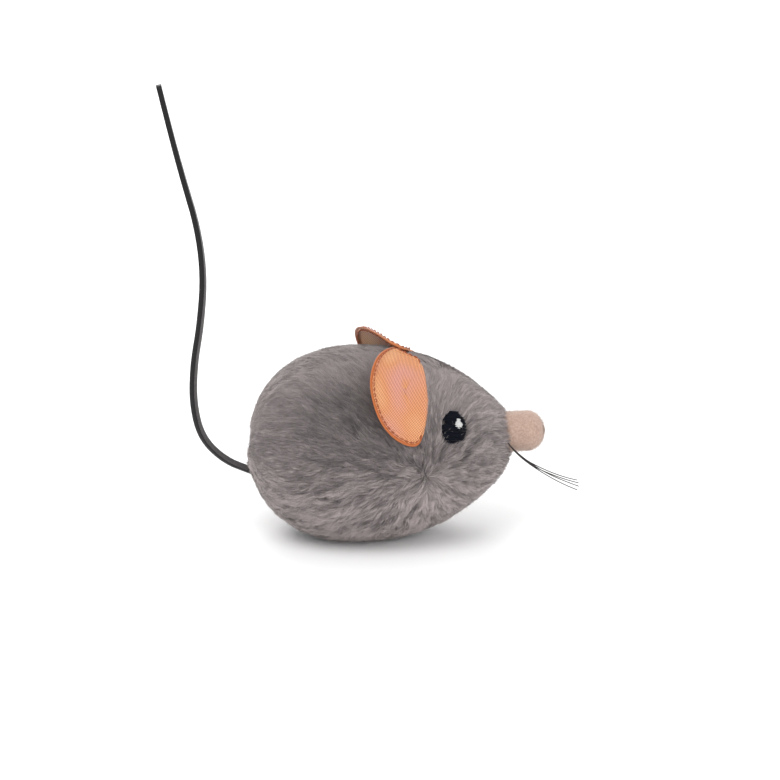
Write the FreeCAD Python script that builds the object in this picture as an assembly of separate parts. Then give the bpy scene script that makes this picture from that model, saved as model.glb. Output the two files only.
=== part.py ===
import FreeCAD, Part
import os
from math import acos, cos, degrees, pi, radians, sin, tan

# Clockwork plush mouse: a furry cover, stuffed round a stamped-plate motor that drives two rear wheels.
# +X runs to the nose, +Y is the mouse's left and +Z is up. The wheels stand on z = 0.

# Body: a teardrop turned about an axis that rises a little towards the nose
body_radius = 33.2
rump_length = 37.4
snout_length = 51.6
rump_fullness = 2.25
snout_fullness = 1.85
widest_x = -18.4
belly_flat = 1.2
nose_up = 1.7
pile_depth = 0.9
cover_thickness = 1.8
belly_z = 3.4
belly_seam_z = 7.5

# Ears: padded satin, sewn in at the front edge and standing off the flank at the back
ear_thickness = 2.8
ear_right_x = 4.6
ear_left_x = 1.4
ear_stand_off = 28.0
ear_sink = 0.7
ear_gap = 0.3
ear_view_tilt = 18.0
ear_top = 32.4
ear_bottom = -1.4
ear_depth = 19.5
ear_blank = 25.0

# Face
nose_radius = 7.0
nose_length = 15.2
nose_reach = 11.0
nose_rise = 2.6
nose_rounding = 5.74
eye_width = 8.2
eye_height = 11.2
eye_x = 13.6
eye_angle = 28.0
eye_thickness = 0.5
glint_width = 2.6
glint_height = 2.86
glint_forward = 1.7
glint_raise = 2.6
glint_thickness = 0.3
whisker_radius = 0.16
whisker_count = 4
whisker_root_back = 2.6
whisker_root_y = 4.0
whisker_root_drop = 1.2
whisker_root_spread = 0.2
whisker_tip_spread = 1.5
whisker_sag = 1.4
right_whisker_reach = (22.8, 8.0, -11.4)
left_whisker_reach = (-13.2, 27.0, -10.0)

# Tail: square-cut lace knotted inside the cover
tail_radius = 1.0
knot_radius = 2.2
tail_points = [
    (-48.4, 0.0, 19.4),
    (-56.5, -0.3, 22.4),
    (-64.6, -0.5, 26.6),
    (-71.6, -1.0, 34.6),
    (-75.2, -0.6, 46.0),
    (-74.9, 0.4, 59.5),
    (-72.4, 1.0, 74.5),
    (-71.2, 0.6, 91.5),
    (-73.2, 0.0, 108.5),
    (-78.2, -0.6, 125.5),
    (-83.0, -1.0, 142.5),
    (-87.4, -1.6, 159.0),
]

# Wheels
wheel_radius = 7.0
tyre_thickness = 1.1
wheel_width = 2.6
wheel_gap = 0.5
wheel_rim_wall = 1.1
wheel_hub_wall = 1.2
wheel_dish_depth = 0.8
tyre_rounding = 0.6
axle_radius = 1.0
bush_wall = 0.6
rear_axle_x = -28.8
roller_radius = 4.6
roller_tyre_thickness = 0.8
roller_width = 7.0
roller_x = -6.0
roller_pin_radius = 0.8

# Clockwork
gear_module = 0.5
pressure_angle = 25.0
backlash = 0.05
tooth_root_depth = 1.25
flank_steps = 4
great_teeth = 40
idler_teeth = 30
pinion_teeth = 12
great_gear_width = 0.9
window_count = 3
window_radius = 1.9
window_start = 100.0
idler_gear_width = 0.9
pinion_width = 1.7
idler_rise = 65.0
great_rise = 24.0
idler_shaft_radius = 0.75
arbor_radius = 1.5
running_clearance = 0.05
shaft_end = 0.4
plate_thickness = 0.8
plate_gap = 9.2
plate_margin = 0.8
plate_corner = 3.0
pillar_radius = 1.1
pillar_neck_radius = 0.66
rivet_height = 0.3
ratchet_teeth = 12
ratchet_radius = 4.2
ratchet_depth = 0.9
ratchet_width = 0.8
click_radius = 7.2
click_angle = 40.0
click_eye_radius = 1.1
click_rivet_radius = 0.6
click_rivet_head = 0.95
spring_width = 3.6
spring_strip = 0.3
spring_pitch = 1.1
spring_turns = 6
spring_slot = 0.5

# Chassis, dust cap and winding knob
chassis_length = 40.6
chassis_width = 22.0
chassis_front_x = 2.0
chassis_front_corner = 8.0
chassis_rear_corner = 6.0
chassis_edge = 0.2
flange_height = 1.0
flange_lip = 1.1
slot_clearance = 0.6
cap_wall = 1.0
cap_room = 0.8
screw_radius = 0.8
screw_head_radius = 1.6
screw_length = 7.0
screw_head_depth = 1.0
wheel_headroom = 2.0
boss_radius = 1.9
sleeve_wall = 1.1
sleeve_clearance = 0.3
grommet_radius = 4.2
grommet_lip = 1.0
grommet_washer = 0.8
grommet_stand = 0.5
grommet_depth = 3.6
knob_radius = 4.8
knob_thickness = 3.6
knob_lift = 0.8
knob_cap = 1.2
knob_rounding = 0.7
knob_hub_radius = 2.8
knob_hub_length = 1.2
knob_rib_count = 18
knob_rib_radius = 0.45

# Room for cuts to run past the solids that they cut
past = 1.0
far = 100.0

# Places that follow from the sizes above
axis_z = body_radius - belly_flat
snout_x = widest_x + snout_length
nose_tip_x = snout_x + nose_reach
axis_point = FreeCAD.Vector(widest_x, 0, axis_z)
along_y = FreeCAD.Vector(0, 1, 0)
along_x = FreeCAD.Vector(1, 0, 0)
chassis_top = belly_z + cover_thickness
flange_top = chassis_top + flange_height
chassis_rear_x = chassis_front_x - chassis_length
plate_inner_y = plate_gap / 2
plate_outer_y = plate_inner_y + plate_thickness
rear_axle = (rear_axle_x, wheel_radius)
roller_centre = (roller_x, roller_radius)


def pitch_radius(teeth):
    return gear_module * teeth / 2


def step_from(start, distance, rise):
    return (start[0] + distance * cos(radians(rise)), start[1] + distance * sin(radians(rise)))


idler = step_from(rear_axle, pitch_radius(idler_teeth) + pitch_radius(pinion_teeth), idler_rise)
arbor = step_from(idler, pitch_radius(great_teeth) + pitch_radius(pinion_teeth), great_rise)
great_tip = pitch_radius(great_teeth) + gear_module
click_pivot = step_from(arbor, click_radius, click_angle)

# Layers across the motor, from the right plate to the left one
spring_side_play = 0.3
great_gear_play = 0.4
ratchet_play = 0.1
idler_gear_play = 0.6
spring_y = -plate_inner_y + spring_side_play
great_gear_y = spring_y + spring_width + great_gear_play
ratchet_y = great_gear_y + great_gear_width + ratchet_play
ratchet_end_y = ratchet_y + ratchet_width
idler_gear_y = plate_inner_y - idler_gear_play - idler_gear_width
pinion_lead = (pinion_width - great_gear_width) / 2

grommet_inner_y = (body_radius ** 2 - (axis_z - arbor[1]) ** 2) ** 0.5 - pile_depth - grommet_depth
knob_start_y = grommet_inner_y + grommet_depth + pile_depth + knob_lift
knob_end_y = knob_start_y + knob_thickness
sleeve_bore = arbor_radius + sleeve_clearance
cap_inner_y = plate_outer_y + wheel_gap + wheel_width + cap_room
cap_outer_y = cap_inner_y + cap_wall
plate_top = arbor[1] + great_tip + 1.0
plate_front_x = arbor[0] + great_tip + plate_margin
plate_rear_x = idler[0] - pitch_radius(idler_teeth) - gear_module - plate_margin
cap_front_x = plate_front_x + cap_room + cap_wall
cap_rear_x = rear_axle_x - wheel_radius - slot_clearance - cap_wall
cap_step_x = rear_axle_x + wheel_radius + slot_clearance
cap_narrow_y = plate_outer_y + cap_room + cap_wall
cap_top = plate_top + cap_room + cap_wall
spring_inner_radius = arbor_radius + spring_slot
spring_end_z = arbor[1] + spring_inner_radius + (spring_turns - 0.25) * spring_pitch
pillar_edge = 1.8
pillar_places = [
    (plate_front_x - pillar_edge, spring_end_z),
    (plate_front_x - pillar_edge, arbor[1] - 7.6),
    (plate_rear_x + 2.0, plate_top - 2.4),
    (rear_axle_x + 11.0, chassis_top + 2.8),
]
boss_overlap = 0.4
rear_boss_inset = 1.4
screw_places = [
    (cap_step_x + boss_radius, cap_narrow_y + boss_overlap),
    (cap_step_x + boss_radius, -cap_narrow_y - boss_overlap),
    (cap_rear_x + rear_boss_inset, 0),
]


def block(x0, x1, y0, y1, z0, z1):
    return Part.makeBox(x1 - x0, y1 - y0, z1 - z0, FreeCAD.Vector(x0, y0, z0))


def rod(place, radius, y0, y1):
    """A cylinder along Y through a point (x, z)."""
    return Part.makeCylinder(radius, y1 - y0, FreeCAD.Vector(place[0], y0, place[1]), along_y)


def ring(place, outer, inner, y0, y1):
    return rod(place, outer, y0, y1).cut(rod(place, inner, y0 - past, y1 + past))


def post(x, y, radius, z0, z1):
    return Part.makeCylinder(radius, z1 - z0, FreeCAD.Vector(x, y, z0))


def save(node, shape):
    shape.exportStep("parts/" + node + ".step")
    state = "valid" if shape.isValid() else "BAD"
    print(node, len(shape.Solids), "solids", round(shape.Volume, 2), "mm3", state)


# ---- Body shapes: everything round is turned about the body's own axis ----

def radius_at(x, inset):
    """The body's radius at a station on its axis, that far inside the tips of the pile."""
    reach = (rump_length if x < widest_x else snout_length) - inset
    fullness = rump_fullness if x < widest_x else snout_fullness
    share = min(1.0, abs(x - widest_x) / reach)
    return (body_radius - inset) * (1 - share ** fullness) ** (1 / fullness)


def tilt(shape):
    """Lift the nose by turning a shape about the widest point of the body's axis."""
    shape.rotate(axis_point, along_y, -nose_up)
    return shape


def teardrop(inset):
    rump = widest_x - rump_length + inset
    snout = snout_x - inset
    stations = 16
    points = [FreeCAD.Vector(rump, 0, axis_z)]
    for i in range(1, stations):
        x = (rump + snout) / 2 - (snout - rump) / 2 * cos(pi * i / stations)
        points.append(FreeCAD.Vector(x, 0, axis_z + radius_at(x, inset)))
    points.append(FreeCAD.Vector(snout, 0, axis_z))
    curve = Part.BSplineCurve()
    up = FreeCAD.Vector(0, 0, 1)
    curve.interpolate(Points=points, InitialTangent=up, FinalTangent=-up)
    outline = Part.Wire([curve.toShape(), Part.makeLine(points[-1], points[0])])
    left, right = [Part.Face(outline).revolve(points[0], along_x, turn) for turn in (-180, 180)]
    return tilt(left.fuse(right))


def above(shape, z):
    return shape.common(block(-far, far, -far, far, z, 2 * far))


def cover_shell():
    return above(teardrop(pile_depth), belly_z).cut(cavity())


def cavity():
    return above(teardrop(pile_depth + cover_thickness), chassis_top)


def rounded_tray(grow, z0, z1):
    """A plate with the chassis's outline, grown by a lip all round."""
    half = chassis_width / 2 + grow
    tray = block(chassis_rear_x - grow, chassis_front_x + grow, -half, half, z0, z1)
    uprights = [e for e in tray.Edges if e.BoundBox.ZLength > 0.1]
    middle_x = (chassis_rear_x + chassis_front_x) / 2
    front = [e for e in uprights if e.BoundBox.XMin > middle_x]
    tray = tray.makeFillet(chassis_front_corner + grow, front)
    rear_edge = chassis_rear_x - grow + 0.1
    rear = [e for e in tray.Edges if e.BoundBox.ZLength > 0.1 and e.BoundBox.XMax < rear_edge]
    return tray.makeFillet(chassis_rear_corner + grow, rear)


# ---- Ears, eyes and glints: cut from shells that follow the flank ----

def view_prism(points):
    """A prism through the right flank from an outline of (x, height) points, rounded into one curve."""
    curve = Part.BSplineCurve()
    curve.interpolate(Points=[FreeCAD.Vector(x, 0, axis_z + h) for x, h in points], PeriodicFlag=True)
    face = Part.Face(Part.Wire(curve.toShape()))
    prism = face.extrude(FreeCAD.Vector(0, -far, 0))
    prism.rotate(axis_point, along_x, -ear_view_tilt)
    return prism


def ear(front_x):
    """A right ear whose front edge is sewn in at front_x: a piece of a cone that opens to the rear."""
    spread = tan(radians(ear_stand_off))
    low, high = front_x - ear_blank, front_x + ear_blank / 5
    seam_radius = radius_at(front_x, pile_depth) - ear_sink
    shells = []
    for radius in (seam_radius, seam_radius + ear_thickness / cos(radians(ear_stand_off))):
        wide = radius + spread * (front_x - low)
        narrow = radius + spread * (front_x - high)
        shells.append(Part.makeCone(wide, narrow, high - low, FreeCAD.Vector(low, 0, axis_z), along_x))
    tall = ear_top - ear_bottom
    back = front_x - ear_depth
    outline = [
        (front_x - 0.2, ear_bottom + 0.30 * tall),
        (front_x, ear_bottom + 0.55 * tall),
        (front_x - 2.2, ear_bottom + 0.84 * tall),
        (front_x - 9.5, ear_top),
        (back + 3.0, ear_bottom + 0.92 * tall),
        (back, ear_bottom + 0.64 * tall),
        (back + 2.6, ear_bottom + 0.28 * tall),
        (back + 8.6, ear_bottom + 0.05 * tall),
        (front_x - 3.6, ear_bottom),
    ]
    ear = tilt(shells[1].cut(shells[0]).common(view_prism(outline)))
    own_side = block(-far, far, -far, -ear_gap / 2, 0, far)
    return ear.common(own_side).cut(teardrop(pile_depth))


def mirrored(shape):
    return shape.mirror(FreeCAD.Vector(0, 0, 0), along_y)


def flank_patch(width, height, x, angle, low, high):
    """An oval of a layer that lies on the right flank, between two depths over the cover."""
    top = FreeCAD.Vector(0, 0, height / 2)
    front = FreeCAD.Vector(width / 2, 0, 0)
    oval = Part.Ellipse(top, front, FreeCAD.Vector(0, 0, 0))
    prism = Part.Face(Part.Wire(oval.toShape())).extrude(FreeCAD.Vector(0, -far, 0))
    prism.translate(FreeCAD.Vector(x, 0, axis_z))
    prism.rotate(axis_point, along_x, -angle)
    return teardrop(pile_depth - high).cut(teardrop(pile_depth - low)).common(tilt(prism))


def eye_right():
    return flank_patch(eye_width, eye_height, eye_x, eye_angle, 0, eye_thickness)


def glint_right():
    top = eye_thickness + glint_thickness
    x = eye_x + glint_forward
    return flank_patch(glint_width, glint_height, x, eye_angle + glint_raise, eye_thickness, top)


# ---- Nose and whiskers ----

def nose():
    start = FreeCAD.Vector(nose_tip_x - nose_length, 0, axis_z + nose_rise)
    stub = Part.makeCylinder(nose_radius, nose_length, start, along_x)
    rim = [e for e in stub.Edges if e.BoundBox.XMin > nose_tip_x - 0.1]
    return tilt(stub.makeFillet(nose_rounding, rim)).cut(teardrop(pile_depth))


def whisker(side, number, reach):
    """A bent thread: an arc from the snout to its tip, fanned out a little at the free end."""
    fan = number - (whisker_count - 1) / 2
    root = FreeCAD.Vector(snout_x - whisker_root_back, whisker_root_y, axis_z - whisker_root_drop)
    start = root + FreeCAD.Vector(0, 0.25, whisker_root_spread) * fan
    end = FreeCAD.Vector(snout_x + reach[0] - abs(fan), reach[1], axis_z + reach[2])
    end.z += whisker_tip_spread * fan
    start.y *= side
    end.y *= side
    middle = (start + end) * 0.5 + FreeCAD.Vector(-1.2, 0, -whisker_sag)
    arc = Part.Arc(start, middle, end).toShape()
    tangent = arc.tangentAt(arc.FirstParameter)
    section = Part.Wire(Part.makeCircle(whisker_radius, start, tangent))
    return Part.Wire(arc).makePipeShell([section], True, True)


def whiskers(side, reach):
    skin = teardrop(pile_depth)
    return Part.Compound([whisker(side, i, reach).cut(skin) for i in range(whisker_count)])


# ---- Tail: straight runs joined by tangent arcs ----

def rounded_path(points):
    vectors = [FreeCAD.Vector(p) for p in points]
    edges = []
    start = vectors[0]
    for before, corner, after in zip(vectors, vectors[1:], vectors[2:]):
        toward = (before - corner).normalize()
        onward = (after - corner).normalize()
        half_turn = (pi - toward.getAngle(onward)) / 2
        reach = 0.45 * min((before - corner).Length, (after - corner).Length)
        radius = reach / tan(half_turn)
        middle = (toward + onward).normalize()
        entry = corner + toward * reach
        leave = corner + onward * reach
        apex = corner + middle * (radius / cos(half_turn) - radius)
        edges.append(Part.LineSegment(start, entry).toShape())
        edges.append(Part.Arc(entry, apex, leave).toShape())
        print("tail bend radius", round(radius, 1), "turn", round(degrees(2 * half_turn), 1))
        start = leave
    edges.append(Part.LineSegment(start, vectors[-1]).toShape())
    return Part.Wire(edges)


def tail_cord():
    path = rounded_path(tail_points)
    first, second = [FreeCAD.Vector(p) for p in tail_points[:2]]
    section = Part.Wire(Part.makeCircle(tail_radius, first, second - first))
    tube = path.makePipeShell([section], True, False)
    expected = pi * tail_radius ** 2 * path.Length
    print("tail length", round(path.Length, 1))
    print("tail volume", round(tube.Volume, 1), "expected", round(expected, 1))
    return tube


def tail_knot():
    return Part.makeSphere(knot_radius, FreeCAD.Vector(tail_points[0]))


# ---- Wheels ----

def side_band(side, near, width):
    """The Y range of a layer on one side, starting that far from the middle."""
    return (near, near + width) if side > 0 else (-near - width, -near)


def rear_wheel(side):
    y0, y1 = side_band(side, plate_outer_y + wheel_gap, wheel_width)
    rim = wheel_radius - tyre_thickness
    dish_near = plate_outer_y + wheel_gap + wheel_width - wheel_dish_depth
    dish_y0, dish_y1 = side_band(side, dish_near, past)
    wheel = rod(rear_axle, rim, y0, y1)
    dish = ring(rear_axle, rim - wheel_rim_wall, axle_radius + wheel_hub_wall, dish_y0, dish_y1)
    return wheel.cut(dish).cut(rod(rear_axle, axle_radius, y0 - past, y1 + past))


def rounded_tyre(place, radius, thickness, y0, y1):
    tyre = rod(place, radius, y0, y1)
    edges = [e for e in tyre.Edges if e.BoundBox.YLength < 0.1]
    bore = rod(place, radius - thickness, y0 - past, y1 + past)
    return tyre.makeFillet(thickness * tyre_rounding, edges).cut(bore)


def rear_tyre(side):
    y0, y1 = side_band(side, plate_outer_y + wheel_gap, wheel_width)
    return rounded_tyre(rear_axle, wheel_radius, tyre_thickness, y0, y1)


def front_roller():
    half = roller_width / 2
    core = roller_radius - roller_tyre_thickness
    return ring(roller_centre, core, roller_pin_radius + running_clearance, -half, half)


def roller_tyre():
    half = roller_width / 2
    return rounded_tyre(roller_centre, roller_radius, roller_tyre_thickness, -half, half)


# ---- Gears: involute teeth, phased so that each pair is in mesh ----

def gear(place, teeth, facing, gap_facing, y0, width, bore):
    """A spur gear whose tooth, or gap if gap_facing, points along an angle from +X towards +Z."""
    pitch = pitch_radius(teeth)
    base = pitch * cos(radians(pressure_angle))
    tip = pitch + gear_module
    root = pitch - tooth_root_depth * gear_module
    pitch_half = pi / (2 * teeth) - backlash / (2 * pitch)
    involute_at_pitch = tan(radians(pressure_angle)) - radians(pressure_angle)
    phase = radians(facing) + (pi / teeth if gap_facing else 0)

    def at(radius, angle):
        return FreeCAD.Vector(place[0] + radius * cos(angle), y0, place[1] + radius * sin(angle))

    def half_angle(radius):
        roll = acos(min(1.0, base / radius))
        return pitch_half + involute_at_pitch - (tan(roll) - roll)

    low = max(base, root)
    flank_radii = [low + (tip - low) * k / flank_steps for k in range(flank_steps + 1)]
    edges = []
    for i in range(teeth):
        middle = phase + 2 * pi * i / teeth
        rising = [at(r, middle - half_angle(r)) for r in flank_radii]
        falling = [at(r, middle + half_angle(r)) for r in reversed(flank_radii)]
        if root < low:
            rising = [at(root, middle - half_angle(low))] + rising
            falling = falling + [at(root, middle + half_angle(low))]
            edges.append(Part.makeLine(rising[0], rising[1]))
        up = Part.BSplineCurve()
        up.interpolate(rising[-len(flank_radii):])
        down = Part.BSplineCurve()
        down.interpolate(falling[:len(flank_radii)])
        edges.append(up.toShape())
        edges.append(Part.Arc(rising[-1], at(tip, middle), falling[0]).toShape())
        edges.append(down.toShape())
        if root < low:
            edges.append(Part.makeLine(falling[-2], falling[-1]))
        next_middle = middle + 2 * pi / teeth
        valley = at(root, (middle + next_middle) / 2)
        valley_end = at(root, next_middle - half_angle(low))
        if root >= low:
            valley_end = at(low, next_middle - half_angle(low))
        edges.append(Part.Arc(falling[-1], valley, valley_end).toShape())
    blank = Part.Face(Part.Wire(Part.__sortEdges__(edges))).extrude(FreeCAD.Vector(0, width, 0))
    return blank.cut(rod(place, bore, y0 - past, y0 + width + past))


def great_gear():
    wheel = gear(arbor, great_teeth, great_rise + 180, False, great_gear_y, great_gear_width,
                 arbor_radius + running_clearance)
    y0, y1 = great_gear_y - past, great_gear_y + great_gear_width + past
    for i in range(window_count):
        place = step_from(arbor, click_radius - 0.9, window_start + 360 / window_count * i)
        wheel = wheel.cut(rod(place, window_radius, y0, y1))
    return wheel.cut(rod(click_pivot, click_rivet_radius, y0, y1))


def idler_gear():
    return gear(idler, idler_teeth, idler_rise + 180, False, idler_gear_y, idler_gear_width,
                idler_shaft_radius)


def idler_pinion():
    return gear(idler, pinion_teeth, great_rise, True, great_gear_y - pinion_lead, pinion_width,
                idler_shaft_radius)


def axle_pinion():
    return gear(rear_axle, pinion_teeth, idler_rise, True, idler_gear_y - pinion_lead, pinion_width,
                axle_radius)


def idler_shaft():
    reach = plate_outer_y + shaft_end
    return rod(idler, idler_shaft_radius, -reach, reach)


def rear_axle_rod():
    reach = plate_outer_y + wheel_gap + wheel_width + rivet_height
    return rod(rear_axle, axle_radius, -reach, reach)


# ---- Winding: arbor, ratchet, click and mainspring ----

def winding_arbor():
    shaft = rod(arbor, arbor_radius, -plate_outer_y - shaft_end, knob_end_y - knob_cap)
    half = spring_slot / 2
    slot_end_y = spring_y + spring_width + spring_slot / 5
    slot_top = arbor[1] + 2 * arbor_radius
    slot = block(arbor[0] - half, arbor[0] + half, spring_y, slot_end_y, arbor[1], slot_top)
    return shaft.cut(slot)


def ratchet_wheel():
    """Saw teeth that push the click clockwise seen from the right, and slip under it the other way."""
    root = ratchet_radius - ratchet_depth
    points = []
    for i in range(ratchet_teeth):
        angle = 360 / ratchet_teeth * i
        for radius in (root, ratchet_radius):
            x, z = step_from(arbor, radius, angle)
            points.append(FreeCAD.Vector(x, ratchet_y, z))
    face = Part.Face(Part.makePolygon(points + points[:1]))
    bore = rod(arbor, arbor_radius, ratchet_y - past, ratchet_end_y + past)
    return face.extrude(FreeCAD.Vector(0, ratchet_width, 0)).cut(bore)


def click():
    """A springy pawl from its rivet to the step of a ratchet tooth."""
    tip = step_from(arbor, ratchet_radius - 0.35, -3.0)
    outer = step_from(arbor, ratchet_radius + 0.35, -3.5)
    heel = step_from(arbor, ratchet_radius + 0.75, 5.0)
    front = (click_pivot[0] + 0.8, click_pivot[1] - 0.5)
    back = (click_pivot[0] - 0.7, click_pivot[1] - 0.3)
    points = [front, (outer[0] + 0.5, outer[1]), tip, heel, back]
    outline = [FreeCAD.Vector(x, ratchet_y, z) for x, z in points]
    arm = Part.Face(Part.makePolygon(outline + outline[:1])).extrude(FreeCAD.Vector(0, ratchet_width, 0))
    eye = rod(click_pivot, click_eye_radius, ratchet_y, ratchet_end_y)
    hole = rod(click_pivot, click_rivet_radius, ratchet_y - past, ratchet_end_y + past)
    return arm.fuse(eye).removeSplitter().cut(hole)


def click_rivet():
    shank = rod(click_pivot, click_rivet_radius, great_gear_y, ratchet_end_y)
    head = rod(click_pivot, click_rivet_head, ratchet_end_y, ratchet_end_y + rivet_height)
    return shank.fuse(head).removeSplitter()


def mainspring():
    """A flat strip of half circles that grow outwards, from a tongue in the arbor to an eye on a pillar."""
    turn_step = spring_pitch / 4
    edges = {-1: [], 1: []}
    for i in range(2 * spring_turns):
        radius = spring_inner_radius + i * 2 * turn_step
        centre_z = arbor[1] + (turn_step if i % 2 else -turn_step)
        start_up = 1 if i % 2 == 0 else -1
        for offset in (-1, 1):
            r = radius + offset * spring_strip / 2
            ends = [FreeCAD.Vector(arbor[0], spring_y, centre_z + start_up * r),
                    FreeCAD.Vector(arbor[0] + start_up * r, spring_y, centre_z),
                    FreeCAD.Vector(arbor[0], spring_y, centre_z - start_up * r)]
            edges[offset].append(Part.Arc(ends[0], ends[1], ends[2]).toShape())
    first = [edges[o][0].Vertexes[0].Point for o in (-1, 1)]
    last = [edges[o][-1].Vertexes[-1].Point for o in (-1, 1)]
    caps = [Part.makeLine(first[0], first[1]), Part.makeLine(last[0], last[1])]
    outline = Part.Wire(Part.__sortEdges__(edges[-1] + edges[1] + caps))
    coil = Part.Face(outline).extrude(FreeCAD.Vector(0, spring_width, 0))
    half = spring_strip / 2
    end_y = spring_y + spring_width
    tongue_top = arbor[1] + spring_inner_radius - turn_step
    tongue = block(arbor[0] - half, arbor[0] + half, spring_y, end_y, arbor[1] + 0.6, tongue_top)
    leg = block(arbor[0], pillar_places[0][0] - pillar_radius, spring_y, end_y,
                pillar_places[0][1] - half, pillar_places[0][1] + half)
    eye = ring(pillar_places[0], pillar_radius + spring_strip, pillar_radius, spring_y, end_y)
    leg = leg.cut(rod(pillar_places[0], pillar_radius, spring_y - past, end_y + past))
    return coil.fuse([tongue, leg, eye]).removeSplitter()


def winding_knob():
    knob = rod(arbor, knob_radius, knob_start_y, knob_end_y)
    knob = knob.makeFillet(knob_rounding, [e for e in knob.Edges if e.BoundBox.YLength < 0.1])
    hub_start_y = knob_start_y - knob_hub_length
    knob = knob.fuse(rod(arbor, knob_hub_radius, hub_start_y, knob_end_y - knob_cap)).removeSplitter()
    for i in range(knob_rib_count):
        place = step_from(arbor, knob_radius, 360 / knob_rib_count * i)
        knob = knob.cut(rod(place, knob_rib_radius, knob_start_y - past, knob_end_y + past))
    return knob.cut(rod(arbor, arbor_radius, hub_start_y - past, knob_end_y - knob_cap))


# ---- Motor frame ----

def motor_plate(side):
    y0, y1 = side_band(side, plate_inner_y, plate_thickness)
    plate = block(plate_rear_x, plate_front_x, y0, y1, chassis_top, plate_top)
    corners = [e for e in plate.Edges if e.BoundBox.YLength > 0.1 and e.BoundBox.ZMin > plate_top - 0.1]
    plate = plate.makeFillet(plate_corner, corners)
    holes = [(rear_axle, axle_radius + bush_wall), (idler, idler_shaft_radius + running_clearance),
             (arbor, arbor_radius + running_clearance), (roller_centre, roller_pin_radius)]
    holes += [(place, pillar_neck_radius) for place in pillar_places]
    for place, radius in holes:
        plate = plate.cut(rod(place, radius, y0 - past, y1 + past))
    return plate


def plate_pillars():
    """Spacers between the plates, with necks riveted over on the outside."""
    pillars = []
    for place in pillar_places:
        neck_end = plate_outer_y + rivet_height
        neck = rod(place, pillar_neck_radius, -neck_end, neck_end)
        pillars.append(rod(place, pillar_radius, -plate_inner_y, plate_inner_y).fuse(neck).removeSplitter())
    return Part.Compound(pillars)


def axle_bushes():
    bushes = []
    for side in (-1, 1):
        y0, y1 = side_band(side, plate_inner_y, plate_thickness)
        bushes.append(ring(rear_axle, axle_radius + bush_wall, axle_radius + running_clearance, y0, y1))
    return Part.Compound(bushes)


def roller_pin():
    return rod(roller_centre, roller_pin_radius, -plate_outer_y, plate_outer_y)


# ---- Chassis, dust cap, sleeve, grommet and screws ----

def wheel_slots():
    """The openings in the floor of the chassis, round each wheel and the roller."""
    slots = []
    for side in (-1, 1):
        near = plate_outer_y + wheel_gap - slot_clearance / 2
        y0, y1 = side_band(side, near, wheel_width + slot_clearance)
        reach = wheel_radius + slot_clearance
        slots.append(block(rear_axle_x - reach, rear_axle_x + reach, y0, y1, 0, flange_top + past))
    half = roller_width / 2 + slot_clearance
    reach = roller_radius + slot_clearance
    slots.append(block(roller_x - reach, roller_x + reach, -half, half, 0, flange_top + past))
    return slots


def floor_tray():
    """The tray in the belly opening, kept inside the cover where the body is narrow."""
    return rounded_tray(0, belly_z, chassis_top).common(teardrop(pile_depth + chassis_edge))


def screw_head(x, y):
    place = FreeCAD.Vector(x, y, belly_z)
    return Part.makeCone(screw_head_radius, screw_radius, screw_head_depth, place)


def flange():
    return rounded_tray(flange_lip, chassis_top, flange_top).common(cavity())


def chassis():
    well = block(plate_rear_x - running_clearance, plate_front_x + running_clearance,
                 -plate_outer_y, plate_outer_y, chassis_top, flange_top + past)
    tray = floor_tray().fuse(flange()).removeSplitter().cut(well)
    axle_reach = plate_outer_y + wheel_gap + wheel_width + slot_clearance
    tray = tray.cut(rod(rear_axle, axle_radius + slot_clearance, -axle_reach, axle_reach))
    tray = tray.cut(rod(roller_centre, roller_pin_radius, -plate_outer_y, plate_outer_y))
    pinion_room = pitch_radius(pinion_teeth) + gear_module + slot_clearance
    tray = tray.cut(block(rear_axle_x - pinion_room, rear_axle_x + pinion_room,
                          idler_gear_y - pinion_lead - slot_clearance, plate_inner_y, 0, flange_top))
    for slot in wheel_slots():
        tray = tray.cut(slot)
    for x, y in screw_places:
        tray = tray.cut(post(x, y, screw_radius, belly_z - past, flange_top + past))
        tray = tray.cut(screw_head(x, y))
    return tray


def cap_block(shrink):
    """The cap's outline: narrow over the gears, and wider at the back over the wheels."""
    side = cap_outer_y - shrink
    waist = cap_narrow_y - shrink
    wide_top = 2 * wheel_radius + wheel_headroom - shrink
    wide = block(cap_rear_x + shrink, cap_step_x - shrink + cap_wall, -side, side, flange_top, wide_top)
    tall_rear_x = plate_rear_x - cap_room - cap_wall + shrink
    tall = block(tall_rear_x, cap_front_x - shrink, -waist, waist, flange_top, cap_top - shrink)
    return wide.fuse(tall).removeSplitter()


def dust_cap():
    cap = cap_block(0)
    for x, y in screw_places:
        cap = cap.fuse(post(x, y, boss_radius, flange_top, flange_top + screw_length))
    cap = cap.removeSplitter().cut(cap_block(cap_wall)).common(cavity())
    for x, y in screw_places:
        cap = cap.cut(post(x, y, screw_radius, flange_top - past, belly_z + screw_length))
    return cap.cut(rod(arbor, sleeve_bore, 0, cap_outer_y + past))


def cap_screws():
    screws = []
    for x, y in screw_places:
        shank = post(x, y, screw_radius, belly_z + screw_head_depth, belly_z + screw_length)
        screws.append(screw_head(x, y).fuse(shank))
    return Part.Compound(screws)


def arbor_sleeve():
    return ring(arbor, sleeve_bore + sleeve_wall, sleeve_bore, cap_outer_y, grommet_inner_y)


def knob_grommet():
    end = grommet_inner_y + grommet_depth + grommet_stand
    body = ring(arbor, grommet_radius - grommet_lip, sleeve_bore, grommet_inner_y, end)
    washer = ring(arbor, grommet_radius, sleeve_bore, grommet_inner_y, grommet_inner_y + grommet_washer)
    return body.fuse(washer).removeSplitter()


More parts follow.
